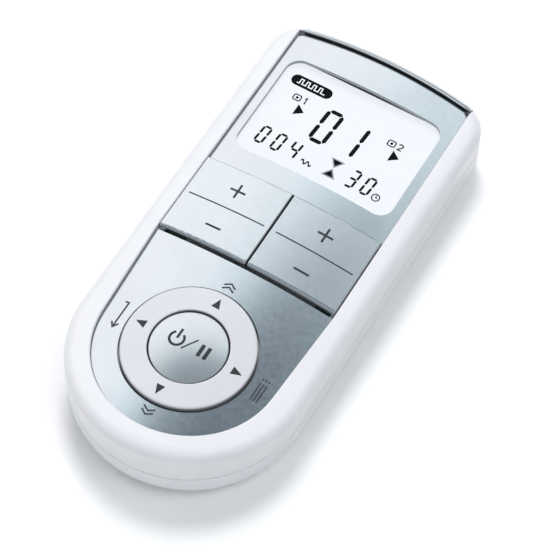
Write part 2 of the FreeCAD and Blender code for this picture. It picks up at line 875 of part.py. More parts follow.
def build_ring():
    """Direction ring with a hidden flange and four plungers."""
    body = new_body("direction_ring")
    bottom = dim("ring_bottom")
    add_cylinder(body, "ring_block", 0, ring_y, dim("ring_outer_radius"), bottom, above_all)
    cut_above_crown(body, "ring_crown", dim("ring_depth"))
    rim = number_of(bottom) + 1
    fillet(body, "ring_outer_edge", dim("ring_outer_edge_radius"),
           lambda edge: edge.BoundBox.ZMin > rim)
    cut_cylinder(body, "ring_eye", 0, ring_y, dim("ring_inner_radius"), bottom - PAST, above_all)
    reach = number_of(dim("ring_inner_radius")) + 0.01
    fillet(body, "ring_inner_edge", dim("ring_inner_edge_radius"),
           lambda edge: edge.BoundBox.ZMin > rim and edge.BoundBox.XMax < reach)
    flange = new_sketch(body, "ring_flange", offset=bottom)
    draw_circle(flange, 0, ring_y, dim("ring_flange_radius"))
    draw_circle(flange, 0, ring_y, dim("ring_flange_inner_radius"))
    pad(body, flange, dim("ring_flange_top") - bottom)
    reach = dim("ring_plunger_distance")
    for name, x, y in (("up", 0, 1), ("down", 0, -1), ("right", 1, 0), ("left", -1, 0)):
        add_cylinder(body, f"ring_{name}_plunger", reach * x, ring_y + reach * y,
                     dim("dome_head_radius"), dim("plunger_bottom"),
                     bottom + dim("ring_plunger_root"))
    return body


def build_ring_web():
    """Silicone web that carries the ring, inside its plungers."""
    body = new_body("ring_web")
    sketch = new_sketch(body, "ring_web_outline", offset=dim("ring_web_bottom"))
    draw_circle(sketch, 0, ring_y, dim("ring_web_outer_radius"))
    draw_circle(sketch, 0, ring_y, dim("ring_web_inner_radius"))
    pad(body, sketch, dim("ring_web_top") - dim("ring_web_bottom"))
    return body


def build_power_button():
    """Domed round button in the eye of the ring."""
    body = new_body("power_button")
    radius = dim("button_radius")
    rise = dim("button_rise")
    edge = dim("button_edge_height")
    dome = (radius * radius + rise * rise) / (rise * 2)
    profile = new_sketch(body, "button_profile", "XZ_Plane", -ring_y)
    draw_loop(profile, [
        (0, dim("button_bottom")),
        (radius, dim("button_bottom")),
        (radius, edge, dome),
        (0, edge + rise),
    ])
    revolve(body, profile)
    rim = number_of(edge)
    fillet(body, "button_edge", dim("button_edge_radius"),
           lambda item: abs(item.BoundBox.ZMin - rim) < 0.01 and item.BoundBox.XLength > rim / 2)
    return body


# ---------------------------------------------------------------- keypad and board

def build_keypad():
    """Silicone mat on the board, with a dome under every plunger."""
    body = new_body("silicone_keypad")
    side = dim("keypad_half_width")
    low = dim("keypad_low")
    mat = new_sketch(body, "keypad_mat", offset=board_top)
    draw_round_box(mat, -side, side, low, dim("keypad_high"), dim("keypad_corner"))
    pad(body, mat, dim("keypad_thickness"))
    for along in (1, -1):
        for side_sign in (1, -1):
            name = f"key_dome_{'plus' if along > 0 else 'minus'}_{'2' if side_sign > 0 else '1'}"
            add_dome(body, name, dim("key_plunger_across") * side_sign,
                     key_middle + dim("key_plunger_offset") * along)
    reach = dim("ring_plunger_distance")
    for name, x, y in (("up", 0, 1), ("down", 0, -1), ("right", 1, 0), ("left", -1, 0),
                       ("centre", 0, 0)):
        add_dome(body, f"{name}_dome", reach * x, ring_y + reach * y)
    return body


def add_dome(body, name, x, y):
    """A squat silicone dome: a wide foot with a narrower head on it."""
    middle = keypad_top + (dim("dome_top") - keypad_top) / 2
    add_cylinder(body, f"{name}_foot", x, y, dim("dome_foot_radius"), keypad_top, middle)
    add_cylinder(body, f"{name}_head", x, y, dim("dome_head_radius"), middle, dim("dome_top"))


def build_board():
    """Main circuit board with a round foot, notched round the case bosses."""
    body = new_body("main_board")
    side = dim("board_half_width")
    center = dim("board_foot_center")
    outline = new_sketch(body, "board_outline", offset=dim("board_bottom"))
    draw_loop(outline, [
        (side, center),
        (side, board_high),
        (-side, board_high),
        (-side, center, side),
        (0, center - side, side),
    ])
    pad(body, outline, dim("board_thickness"))
    below = dim("board_bottom") - PAST
    above = board_top + PAST
    for side_sign in (1, -1):
        name = "right" if side_sign > 0 else "left"
        cut_cylinder(body, f"boss_notch_{name}", dim("screw_across") * side_sign,
                     dim("screw_low"), dim("board_boss_notch_radius"), below, above)
        for across, along in (("board_screw_across", "board_screw_high"),
                              ("board_screw_low_across", "board_screw_low")):
            cut_cylinder(body, f"{along}_hole_{name}", dim(across) * side_sign, dim(along),
                         dim("board_screw_hole_radius"), below, above)
    return body


def board_box(name, x, y, width, depth, height):
    """A component hanging under the board."""
    box = document.addObject("Part::Box", name)
    box.setExpression("Length", formula_of(width))
    box.setExpression("Width", formula_of(depth))
    box.setExpression("Height", formula_of(height))
    box.setExpression(".Placement.Base.x", formula_of(x - width / 2))
    box.setExpression(".Placement.Base.y", formula_of(y - depth / 2))
    box.setExpression(".Placement.Base.z", formula_of(dim("board_bottom") - height))
    return box


def board_cylinder(name, x, y, radius, height):
    """A round component hanging under the board."""
    cylinder = document.addObject("Part::Cylinder", name)
    cylinder.setExpression("Radius", formula_of(radius))
    cylinder.setExpression("Height", formula_of(height))
    cylinder.setExpression(".Placement.Base.x", formula_of(x))
    cylinder.setExpression(".Placement.Base.y", formula_of(y))
    cylinder.setExpression(".Placement.Base.z", formula_of(dim("board_bottom") - height))
    return cylinder


def rounded(label, base, radius):
    """The base solid with its lower edges rounded."""
    document.recompute()
    feature = document.addObject("Part::Fillet", label)
    feature.Base = base
    bottom = base.Shape.BoundBox.ZMin
    edges = [number for number, edge in enumerate(base.Shape.Edges, start=1)
             if edge.BoundBox.ZMax < bottom + 1e-3]
    size = number_of(radius)
    feature.Edges = [(number, size, size) for number in edges]
    return feature


def build_components():
    """The parts soldered under the circuit board."""
    transformers = []
    for name, side in (("left", -1), ("right", 1)):
        x = dim("transformer_across") * side
        y = dim("transformer_along")
        depth = dim("transformer_depth")
        core = board_box(f"{name}_core", x, y, dim("transformer_width"), depth / 2,
                         dim("transformer_height"))
        coil = board_box(f"{name}_coil", x, y, dim("coil_width"), depth, dim("coil_height"))
        both = document.addObject("Part::MultiFuse", f"{name}_transformer")
        both.Shapes = [core, coil]
        transformers.append(both)

    capacitors = []
    for place in (-1, 0, 1):
        can = board_cylinder(f"capacitor_{place + 2}", dim("capacitor_pitch") * place,
                             dim("capacitor_along"), dim("capacitor_radius"),
                             dim("capacitor_height"))
        capacitors.append(rounded(f"capacitor_{place + 2}_can", can,
                                  dim("capacitor_edge_radius")))

    transistors = []
    for side in (-1, 1):
        for place in (0, 1, 2):
            transistors.append(board_box(
                f"transistor_{place + 1}_{'right' if side > 0 else 'left'}",
                dim("transistor_across") * side,
                dim("transistor_start") + dim("transistor_pitch") * place,
                dim("transistor_width"), dim("transistor_depth"),
                dim("transistor_height")))

    chip = board_box("controller_chip", Dim(0.0, "0"), dim("chip_along"), dim("chip_width"),
                     dim("chip_width"), dim("chip_height"))
    chip.Label = "controller_chip"
    crystal = board_box("clock_crystal", dim("crystal_across"), dim("crystal_along"),
                        dim("crystal_width"), dim("crystal_depth"), dim("crystal_height"))
    crystal.Label = "clock_crystal"

    can = board_cylinder("buzzer_can", dim("buzzer_across"), dim("buzzer_along"),
                         dim("buzzer_radius"), dim("buzzer_height"))
    hole = board_cylinder("buzzer_hole", dim("buzzer_across"), dim("buzzer_along"),
                          dim("buzzer_hole_radius"), dim("buzzer_height") + PAST)
    buzzer = document.addObject("Part::Cut", "buzzer")
    buzzer.Label = "buzzer"
    buzzer.Base = can
    buzzer.Tool = hole
    return [
        group("output_transformers", transformers),
        group("capacitors", capacitors),
        group("output_transistors", transistors),
        chip, crystal, buzzer,
    ]


# ---------------------------------------------------------------- lead sockets

def build_socket(label, side):
    """Round socket for one electrode lead, open at the far end of the case."""
    body = new_body(label)
    x = dim("socket_across") * side
    z = dim("socket_height")
    barrel = new_sketch(body, f"{label}_barrel", "XZ_Plane", -dim("socket_mouth"))
    draw_circle(barrel, x, z, dim("socket_radius"))
    pad(body, barrel, dim("socket_mouth") - dim("socket_back"))
    flange = new_sketch(body, f"{label}_flange", "XZ_Plane", -(dim("opening_top") - wall))
    draw_circle(flange, x, z, dim("socket_flange_radius"))
    pad(body, flange, dim("socket_flange_thickness"))
    bore = new_sketch(body, f"{label}_bore", "XZ_Plane",
                      -(dim("socket_mouth") - dim("socket_bore_length")))
    draw_circle(bore, x, z, dim("socket_bore_radius"))
    pocket(body, bore, dim("socket_bore_length") + PAST)
    rim = number_of(dim("socket_mouth")) - 0.01
    bore_width = number_of(dim("socket_bore_radius")) * 2 + 0.01
    fillet(body, f"{label}_lip", dim("socket_lip_radius"),
           lambda edge: edge.BoundBox.YMin > rim and edge.BoundBox.XLength > bore_width)
    return body


# ---------------------------------------------------------------- rear shell and door

def build_rear_shell():
    """White rear shell with the battery bay, clip dock, columns and screw bosses."""
    body = new_body("rear_shell")
    lower_case_block(body)
    cavity = new_sketch(body, "rear_cavity", offset=wall)
    case_outline(cavity, wall)
    pocket(body, cavity, parting, upward=True)
    floor = number_of(wall)
    fillet(body, "cavity_edge", dim("cavity_edge_radius"),
           lambda edge: abs(edge.BoundBox.ZMin - floor) < 1e-3 and edge.BoundBox.ZLength < 1e-3)

    bay = dim("bay_half_width")
    shell = dim("bay_wall")
    root_height = wall - dim("boss_root")
    add_box(body, "bay_block", -bay - shell, bay + shell, dim("bay_low") - shell,
            dim("bay_high") + shell, root_height, dim("bay_roof") + dim("bay_roof_thickness"))
    dock = dim("clip_dock_half_width")
    border = dim("clip_dock_border")
    dock_wall = dock + dim("clip_dock_undercut") + border
    add_box(body, "clip_dock_block", -dock_wall, dock_wall, dim("clip_dock_low") - border,
            dim("clip_dock_high") + border, root_height, dim("clip_dock_roof"))

    for side, along in screw_places:
        name = f"{along}_{'right' if side > 0 else 'left'}"
        x = dim("screw_across") * side
        y = dim(along)
        add_cylinder(body, f"rear_boss_{name}", x, y, dim("rear_boss_radius"), root_height, parting)
        cut_cylinder(body, f"rear_hole_{name}", x, y, dim("screw_hole_radius"), below_all,
                     parting + PAST)
        cut_cylinder(body, f"head_recess_{name}", x, y, dim("screw_head_recess_radius"),
                     below_all, dim("screw_head_seat"))
    for side in (1, -1):
        for across, along in (("board_screw_across", "board_screw_high"),
                              ("board_screw_low_across", "board_screw_low")):
            name = f"{along}_{'right' if side > 0 else 'left'}"
            x = dim(across) * side
            add_cylinder(body, f"column_{name}", x, dim(along), dim("column_radius"), root_height,
                         dim("board_bottom"))
            cut_cylinder(body, f"column_pilot_{name}", x, dim(along),
                         dim("board_screw_hole_radius"),
                         board_top - dim("board_screw_length") - dim("board_screw_tip_room"),
                         board_top)

    cut_box(body, "battery_bay", -bay, bay, dim("bay_low"), dim("bay_high"), below_all,
            dim("bay_roof"))
    gap = dim("door_gap")
    slot = dim("door_half_width") + gap
    near = -half_length - PAST
    cut_box(body, "door_slot", -slot, slot, near, dim("door_high") + gap, below_all,
            dim("door_thickness") + gap)
    groove = dim("door_half_width") + dim("rail_width") + gap
    cut_box(body, "rail_groove", -groove, groove, near, dim("rail_high") + gap,
            dim("rail_bottom") - gap, dim("rail_bottom") + dim("rail_thickness") + gap)

    cut_box(body, "clip_dock", -dock, dock, dim("clip_dock_low"), dim("clip_dock_high"),
            below_all, dim("clip_dock_floor"))
    undercut = dock + dim("clip_dock_undercut")
    cut_box(body, "clip_dock_undercut", -undercut, undercut, dim("clip_dock_low"),
            dim("clip_dock_high"), dim("clip_dock_lip"), dim("clip_dock_depth"))
    label_gap = dim("seam_gap")
    label_side = dim("label_half_width") + label_gap
    cut_box(body, "label_recess", -label_side, label_side, dim("label_low") - label_gap,
            dim("label_high") + label_gap, below_all, dim("label_recess"))
    cut_sockets(body)
    return body


def build_battery_door():
    """Sliding door that carries the case's rounded foot edge with it."""
    body = new_body("battery_door")
    lower_case_block(body)
    reach = half_width + PAST
    far = half_length + PAST
    side = dim("door_half_width")
    cut_box(body, "door_inside", -reach, reach, -far, far, dim("door_thickness"), above_all)
    cut_box(body, "door_far_end", -reach, reach, dim("door_high"), far, below_all, above_all)
    cut_box(body, "door_right_side", side, reach, -far, far, below_all, above_all)
    cut_box(body, "door_left_side", -reach, -side, -far, far, below_all, above_all)
    rail = side + dim("rail_width")
    bottom = dim("rail_bottom")
    top = bottom + dim("rail_thickness")
    root_side = side - dim("rail_root")
    low = dim("rail_low")
    high = dim("rail_high")
    add_box(body, "right_rail", root_side, rail, low, high, bottom, top)
    add_box(body, "left_rail", -rail, -root_side, low, high, bottom, top)
    grip = dim("grip_half_length")
    for place in range(int(number_of(dim("grip_count")))):
        y = dim("grip_start") + dim("grip_pitch") * place
        cut_box(body, f"grip_{place + 1}", -grip, grip, y, y + dim("grip_width"), below_all,
                dim("grip_depth"))
    return body


def build_label():
    """Blank rating plate in its recess on the back."""
    body = new_body("rating_label")
    side = dim("label_half_width")
    top = dim("label_recess")
    add_box(body, "label_plate", -side, side, dim("label_low"), dim("label_high"),
            top - dim("label_thickness"), top)
    return body


# ---------------------------------------------------------------- batteries

def build_battery(number):
    """One cylindrical cell, each turned the other way from the cell beside it."""
    body = new_body(f"battery_{number}")
    can = dim("battery_can_length")
    nub = dim("battery_nub_length")
    radius = dim("battery_radius")
    nub_radius = dim("battery_nub_radius")
    upright = number != 2
    start = dim("bay_low") + dim("contact_thickness") + dim("contact_gap") * 2
    if upright:
        start = dim("bay_high") - dim("contact_thickness") - dim("contact_gap") * 2 - can - nub
    x = dim("battery_pitch") * (number - 2)
    foot = -start if upright else -(start + can + nub)
    tip = -1 if upright else 1
    barrel = new_sketch(body, f"battery_{number}_can", "XZ_Plane", foot)
    draw_circle(barrel, x, battery_height, radius)
    pad(body, barrel, can, downward=upright)
    rim = sorted(body.Tip.Shape.Edges, key=lambda edge: edge.BoundBox.YMin)
    ends = {round(rim[0].BoundBox.YMin, 3), round(rim[-1].BoundBox.YMin, 3)}
    fillet(body, f"battery_{number}_edges", dim("battery_edge_radius"),
           lambda edge: round(edge.BoundBox.YMin, 3) in ends and edge.BoundBox.YLength < 1e-3)
    cap = new_sketch(body, f"battery_{number}_nub", "XZ_Plane", foot + can * tip)
    draw_circle(cap, x, battery_height, nub_radius)
    pad(body, cap, nub, downward=upright)
    return body


def build_contacts():
    """Flat contact plates at both ends of the bay: two single and two bridging."""
    plates = []
    pitch = dim("battery_pitch")
    half = dim("contact_half_width")
    gap = dim("contact_gap")
    depth = dim("contact_thickness")
    high = dim("bay_high") - gap - depth
    low = dim("bay_low") + gap
    bottom = dim("door_thickness") + dim("door_gap") + dim("contact_lift")
    spans = (
        ("far_single", -pitch - half, -pitch + half, high),
        ("far_bridge", -half, pitch + half, high),
        ("near_bridge", -pitch - half, half, low),
        ("near_single", pitch - half, pitch + half, low),
    )
    for name, left, right, y in spans:
        plate = document.addObject("Part::Box", f"{name}_plate")
        plate.setExpression("Length", formula_of(right - left))
        plate.setExpression("Width", formula_of(depth))
        plate.setExpression("Height", formula_of(dim("contact_height")))
        plate.setExpression(".Placement.Base.x", formula_of(left))
        plate.setExpression(".Placement.Base.y", formula_of(y))
        plate.setExpression(".Placement.Base.z", formula_of(bottom))
        plates.append(plate)
    return group("battery_contacts", plates)


def build_springs():
    """Conical contact springs, each drawn as a stack of touching turns."""
    springs = []
    wire = dim("spring_wire_radius")
    depth = dim("contact_thickness") + dim("contact_gap") * 2
    turns = int(number_of(dim("spring_turns")))
    for number in (1, 2, 3):
        facing = -1 if number == 2 else 1
        wall_face = dim("bay_high") - depth if facing < 0 else dim("bay_low") + depth
        rings = []
        for turn in range(turns):
            ring = document.addObject("Part::Torus", f"spring_{number}_turn_{turn + 1}")
            ring.setExpression("Radius1", formula_of(
                dim("spring_foot_radius") - dim("spring_taper") * turn))
            ring.setExpression("Radius2", formula_of(wire))
            ring.Placement.Rotation = FreeCAD.Rotation(Vector(1, 0, 0), 90)
            along = wall_face + (wire + dim("spring_pitch") * turn) * facing
            ring.setExpression(".Placement.Base.x",
                               formula_of(dim("battery_pitch") * (number - 2)))
            ring.setExpression(".Placement.Base.y", formula_of(along))
            ring.setExpression(".Placement.Base.z", formula_of(battery_height))
            rings.append(ring)
        spring = document.addObject("Part::MultiFuse", f"spring_{number}")
        spring.Shapes = rings
        springs.append(spring)
    return group("battery_springs", springs)


# ---------------------------------------------------------------- screws

# the cross recess of a screw, as shares of its head's radius and height
SLOT_HALF_WIDTH = 0.12
SLOT_REACH = 0.6
SLOT_DEPTH = 0.5
SLOT_CLEARANCE = 0.1


def build_screw(name, x, y, seat, shank, head):
    """A pan-head screw standing on its seat, with a cross recess: head (radius, height)
    reaches down from the seat for a positive shank and up from it for a negative one."""
    body = document.addObject("PartDesign::Body", name)
    direction = 1 if number_of(shank[1]) > 0 else -1
    top = seat - head[1] if direction > 0 else seat + head[1]
    low, high = (top, seat) if direction > 0 else (seat, top)
    add_cylinder(body, f"{name}_head", x, y, head[0], low, high)
    tip = seat + shank[1]
    low, high = (seat, tip) if direction > 0 else (tip, seat)
    add_cylinder(body, f"{name}_shank", x, y, shank[0], low, high)
    slot = head[0] * SLOT_HALF_WIDTH
    reach = head[0] * SLOT_REACH
    depth = head[1] * SLOT_DEPTH
    low, high = top - SLOT_CLEARANCE, top + depth
    if direction < 0:
        low, high = top - depth, top + SLOT_CLEARANCE
    cut_box(body, f"{name}_slot_across", x - reach, x + reach, y - slot, y + slot, low, high)
    cut_box(body, f"{name}_slot_along", x - slot, x + slot, y - reach, y + reach, low, high)
    return body


def build_case_screws():
    screws = []
    head = (dim("screw_head_radius"), dim("screw_head_thickness"))
    shank = (dim("screw_shank_radius"), dim("screw_tip") - dim("screw_head_seat"))
    for side, along in screw_places:
        name = f"case_screw_{along[6:]}_{'right' if side > 0 else 'left'}"
        screws.append(build_screw(name, dim("screw_across") * side, dim(along),
                                  dim("screw_head_seat"), shank, head))
    return group("case_screws", screws)


def build_board_screws():
    screws = []
    head = (dim("board_screw_head_radius"), dim("board_screw_head_thickness"))
    shank = (dim("board_screw_radius"), -dim("board_screw_length"))
    for side in (1, -1):
        for across, along in (("board_screw_across", "board_screw_high"),
                              ("board_screw_low_across", "board_screw_low")):
            name = f"board_screw_{along[12:]}_{'right' if side > 0 else 'left'}"
            screws.append(build_screw(name, dim(across) * side, dim(along), board_top, shank,
                                      head))
    return group("board_screws", screws)


# ---------------------------------------------------------------- assembly

parts = [
    build_front_shell(),
    build_end_cap(),
    build_display_panel(),
    build_display_window(),
    build_lower_panel(),
    *build_display_stack(),
    build_rocker("channel_1_rocker", -1),
    build_rocker("channel_2_rocker", 1),
    build_rocker_pins(),
    build_ring(),
    build_ring_web(),
    build_power_button(),
    build_keypad(),
    build_board(),
    *build_components(),
    build_socket("lead_socket_1", -1),
    build_socket("lead_socket_2", 1),
    build_rear_shell(),
    build_battery_door(),
    build_label(),
    build_battery(1),
    build_battery(2),
    build_battery(3),
    build_contacts(),
    build_springs(),
    build_case_screws(),
    build_board_screws(),
]
document.recompute()

for item in document.Objects:
    if "Invalid" in item.State or "Error" in item.State:
        raise RuntimeError(f"{item.Name} failed to build")
for part in parts:
    if part.Shape.isNull() or not part.Shape.isValid():
        raise RuntimeError(f"{part.Label} has no valid shape")

os.makedirs("parts", exist_ok=True)
for part in parts:
    part.Shape.exportStep(f"parts/{part.Label}.step")
    print(part.Label, len(part.Shape.Solids), round(part.Shape.Volume, 1))
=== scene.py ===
"""Looks of the nerve stimulator: finishes for its CAD parts, the picture on its display and its signs.

The CAD parts come in as they were packed and stay where they are. All that this script adds to them is
thin: ink on the plates, keys, ring and button, and the figures on the display glass. Outlines, and lengths
with a name that ends in _mm or _MM, are in millimetres. metres(...) turns them into Blender's units.
"""

import json
import math

import bmesh
import bpy
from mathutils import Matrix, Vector
from mathutils.bvhtree import BVHTree


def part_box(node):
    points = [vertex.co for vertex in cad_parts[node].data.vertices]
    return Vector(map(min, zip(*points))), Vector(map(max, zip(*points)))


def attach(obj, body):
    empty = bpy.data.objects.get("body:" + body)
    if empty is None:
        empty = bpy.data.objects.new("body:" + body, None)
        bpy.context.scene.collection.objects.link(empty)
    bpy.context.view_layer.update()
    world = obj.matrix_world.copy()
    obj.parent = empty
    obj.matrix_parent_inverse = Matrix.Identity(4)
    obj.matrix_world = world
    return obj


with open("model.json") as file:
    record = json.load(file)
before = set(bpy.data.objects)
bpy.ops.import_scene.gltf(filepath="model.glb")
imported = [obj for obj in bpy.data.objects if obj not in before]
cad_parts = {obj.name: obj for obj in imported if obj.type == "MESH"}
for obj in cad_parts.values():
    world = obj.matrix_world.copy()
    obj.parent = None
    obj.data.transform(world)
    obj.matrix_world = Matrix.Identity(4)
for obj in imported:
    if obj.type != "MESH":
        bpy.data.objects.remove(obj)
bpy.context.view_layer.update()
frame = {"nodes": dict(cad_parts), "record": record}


# ---------------------------------------------------------------- units and places

MM_PER_METRE = 1000
RAY_START_MM = 5


def metres(millimetres):
    return millimetres / MM_PER_METRE


def middle_of(node):
    """Middle of a CAD node's box, in millimetres."""
    low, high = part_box(node)
    return (low + high) / 2 * MM_PER_METRE


class Surface:
    """The upper side of a CAD node, as a height over any point of it. Both are in metres."""

    def __init__(self, node):
        self.tree = BVHTree.FromObject(frame["nodes"][node], bpy.context.evaluated_depsgraph_get())
        self.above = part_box(node)[1].z + metres(RAY_START_MM)

    def height(self, x, y):
        down = Vector((0, 0, -1))
        hit = self.tree.ray_cast(Vector((x, y, self.above)), down)[0]
        if hit is None:
            raise ValueError(f"nothing under {x}, {y}")
        return hit.z


# ---------------------------------------------------------------- outlines, in millimetres

# The least cosine of half a bend, so that a stroke isn't drawn out far at a sharp corner.
MITRE_LIMIT = 0.5


def turned(points, degrees):
    """The points turned about the origin, counter-clockwise."""
    cosine = math.cos(math.radians(degrees))
    sine = math.sin(math.radians(degrees))
    return [(x * cosine - y * sine, x * sine + y * cosine) for x, y in points]


def moved(points, x, y):
    return [(px + x, py + y) for px, py in points]


def all_moved(outlines, x, y):
    return [moved(outline, x, y) for outline in outlines]


def arc(radius, first, last, steps):
    """Points on an arc about the origin, from one angle to another in degrees."""
    points = []
    for i in range(steps + 1):
        angle = math.radians(first + (last - first) * i / steps)
        points.append((radius * math.cos(angle), radius * math.sin(angle)))
    return points


def bar(start, end, width):
    """The outline of a straight stroke with square ends."""
    along = Vector(end) - Vector(start)
    side = Vector((-along.y, along.x)).normalized() * width / 2
    corners = [Vector(start) - side, Vector(end) - side, Vector(end) + side, Vector(start) + side]
    return [tuple(corner) for corner in corners]


def stroke(points, width):
    """The quads of a bent stroke, mitred where it turns."""
    rails = []
    for i, point in enumerate(points):
        here = Vector(point)
        into = (here - Vector(points[i - 1])).normalized() if i else None
        out = (Vector(points[i + 1]) - here).normalized() if i + 1 < len(points) else None
        into = into or out
        out = out or into
        along = (into + out).normalized()
        side = Vector((-along.y, along.x)) * (width / 2 / max(along.dot(into), MITRE_LIMIT))
        rails.append((tuple(here - side), tuple(here + side)))
    return [[a[0], b[0], b[1], a[1]] for a, b in zip(rails, rails[1:])]


# ---------------------------------------------------------------- thin marks on a surface

INK_MM = 0.03
OVERPRINT_MM = 2 * INK_MM
INK_SINK_MM = 0.02


def lay_ink(name, shapes, surface, body, finish, thickness=INK_MM):
    """A thin layer with these outlines, which lies on a surface and rides on a body.

    It takes its height from the surface at each point, so long strokes on a domed face have extra points.
    """
    sheet = bmesh.new()
    for shape in shapes:
        top = []
        under = []
        for x_mm, y_mm in shape:
            x = metres(x_mm)
            y = metres(y_mm)
            z = surface.height(x, y)
            top.append(sheet.verts.new((x, y, z + metres(thickness))))
            under.append(sheet.verts.new((x, y, z - metres(INK_SINK_MM))))
        sheet.faces.new(top)
        sheet.faces.new(reversed(under))
        for i in range(len(shape)):
            j = (i + 1) % len(shape)
            sheet.faces.new((under[i], under[j], top[j], top[i]))
    bmesh.ops.recalc_face_normals(sheet, faces=sheet.faces)
    mesh = bpy.data.meshes.new(name)
    sheet.to_mesh(mesh)
    sheet.free()
    mesh.materials.append(finish)
    piece = bpy.data.objects.new(name, mesh)
    bpy.context.scene.collection.objects.link(piece)
    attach(piece, body)


# ---------------------------------------------------------------- node tools for the finishes

class Finish:
    """A Principled material, with short ways to vary it over the surface."""

    def __init__(self, name, colour, roughness, metallic=0.0, **constants):
        self.material = bpy.data.materials.new(name)
        self.material.use_nodes = True
        self.nodes = self.material.node_tree.nodes
        self.links = self.material.node_tree.links
        self.shader = self.nodes["Principled BSDF"]
        self.colour = colour
        self.set("Base Color", (*colour, 1))
        self.set("Roughness", roughness)
        self.set("Metallic", metallic)
        for socket, value in constants.items():
            self.set(socket.replace("_", " "), value)
        self.height = None

    def set(self, socket, value):
        self.shader.inputs[socket].default_value = value

    def place_mm(self):
        """Place on the piece itself, in millimetres, so a pattern moves with the piece."""
        where = self.nodes.new("ShaderNodeTexCoord")
        scale = self.nodes.new("ShaderNodeVectorMath")
        scale.operation = "SCALE"
        scale.inputs["Scale"].default_value = MM_PER_METRE
        self.links.new(where.outputs["Object"], scale.inputs[0])
        return scale.outputs[0]

    def noise(self, size_mm, detail=3.0, stretch=(1, 1, 1)):
        """Cloudy noise from 0 to 1, with lumps of about this size."""
        mapping = self.nodes.new("ShaderNodeMapping")
        mapping.inputs["Scale"].default_value = [s / size_mm for s in stretch]
        self.links.new(self.place_mm(), mapping.inputs["Vector"])
        noise = self.nodes.new("ShaderNodeTexNoise")
        noise.inputs["Scale"].default_value = 1.0
        noise.inputs["Detail"].default_value = detail
        self.links.new(mapping.outputs[0], noise.inputs["Vector"])
        return noise.outputs["Fac"]

    def cells(self, size_mm, output="Color"):
        """Small cells of about this size, each with its own random colour."""
        cells = self.nodes.new("ShaderNodeTexVoronoi")
        cells.inputs["Scale"].default_value = 1 / size_mm
        self.links.new(self.place_mm(), cells.inputs["Vector"])
        return cells.outputs[output]

    def upward_part(self):
        """How far the surface faces up on the piece itself: 1 on a flat top and 0 on a wall."""
        facing = self.nodes.new("ShaderNodeTexCoord")
        parts = self.nodes.new("ShaderNodeSeparateXYZ")
        self.links.new(facing.outputs["Normal"], parts.inputs[0])
        return parts.outputs["Z"]

    def spread(self, value, low, high, start=0.3, stop=0.7):
        """A value between start and stop, drawn out from low to high."""
        ramp = self.nodes.new("ShaderNodeMapRange")
        ramp.inputs["From Min"].default_value = start
        ramp.inputs["From Max"].default_value = stop
        ramp.inputs["To Min"].default_value = low
        ramp.inputs["To Max"].default_value = high
        self.links.new(value, ramp.inputs["Value"])
        return ramp.outputs[0]

    def tint(self, value, other, start=0.3, stop=0.7):
        """Colours the surface between what it has and another colour, as the value goes up."""
        mix = self.nodes.new("ShaderNodeMix")
        mix.data_type = "RGBA"
        mix.inputs["A"].default_value = (*self.colour, 1)
        mix.inputs["B"].default_value = (*other, 1)
        base = self.shader.inputs["Base Color"]
        if base.is_linked:
            self.links.new(base.links[0].from_socket, mix.inputs["A"])
        self.links.new(self.spread(value, low=0, high=1, start=start, stop=stop), mix.inputs["Factor"])
        self.links.new(mix.outputs["Result"], base)

    def roughen(self, value, low, high):
        self.links.new(self.spread(value, low, high), self.shader.inputs["Roughness"])

    def bump(self, value, depth_mm):
        """Raises the surface by this much where the value is 1."""
        bump = self.nodes.new("ShaderNodeBump")
        bump.inputs["Distance"].default_value = metres(depth_mm)
        bump.inputs["Strength"].default_value = 1.0
        self.links.new(value, bump.inputs["Height"])
        if self.height is not None:
            self.links.new(self.height, bump.inputs["Normal"])
        self.height = bump.outputs[0]
        self.links.new(self.height, self.shader.inputs["Normal"])

    def shade(self, factor):
        """This colour, darker or lighter by a factor."""
        return tuple(min(1.0, channel * factor) for channel in self.colour)


# ---------------------------------------------------------------- finishes

def moulded(name, colour, roughness, grain_mm=0.8, depth_mm=0.0006, **constants):
    """Moulded plastic: a faint cloud in its colour, uneven gloss and a fine grain."""
    finish = Finish(name, colour, roughness, **constants)
    finish.tint(finish.noise(size_mm=14), finish.shade(0.97))
    finish.roughen(finish.noise(size_mm=6), low=roughness * 0.93, high=roughness * 1.07)
    finish.bump(finish.noise(size_mm=grain_mm), depth_mm)
    return finish.material


def flake_paint(name, colour, roughness, metallic, flake_mm=0.3, painted_wall_shade=0.4):
    """Silver paint: a fine flake in its tone, a slightly uneven gloss, and painted shade that darkens its
    upright walls.
    """
    finish = Finish(name, colour, roughness, metallic)
    flakes = finish.noise(size_mm=flake_mm, detail=1)
    finish.tint(flakes, finish.shade(1.05))
    finish.tint(finish.noise(size_mm=9), finish.shade(0.975))
    # Painted shade: faces that stand upright are darkened as if they lay in shadow.
    finish.tint(finish.upward_part(), finish.shade(painted_wall_shade), start=0.8, stop=0.3)
    finish.roughen(finish.noise(size_mm=flake_mm * 4), low=roughness * 0.9, high=roughness * 1.1)
    finish.bump(finish.noise(size_mm=2.5), depth_mm=0.0004)
    return finish.material


def rubber(name, colour, roughness=0.7):
    """Rubber: matt, with a soft powdery bloom."""
    finish = Finish(name, colour, roughness)
    finish.tint(finish.noise(size_mm=2.5), finish.shade(1.2))
    finish.roughen(finish.noise(size_mm=1.2), low=roughness * 0.85, high=min(1.0, roughness * 1.15))
    finish.bump(finish.noise(size_mm=0.15), depth_mm=0.004)
    return finish.material


def drawn_metal(name, colour, roughness, stretch=(8, 1, 8)):
    """Metal with fine lines from drawing or rolling."""
    finish = Finish(name, colour, roughness, metallic=1.0)
    lines = finish.noise(size_mm=0.5, stretch=stretch)
    finish.tint(lines, finish.shade(0.86))
    finish.roughen(lines, low=roughness * 0.75, high=roughness * 1.3)
    finish.bump(lines, depth_mm=0.002)
    return finish.material


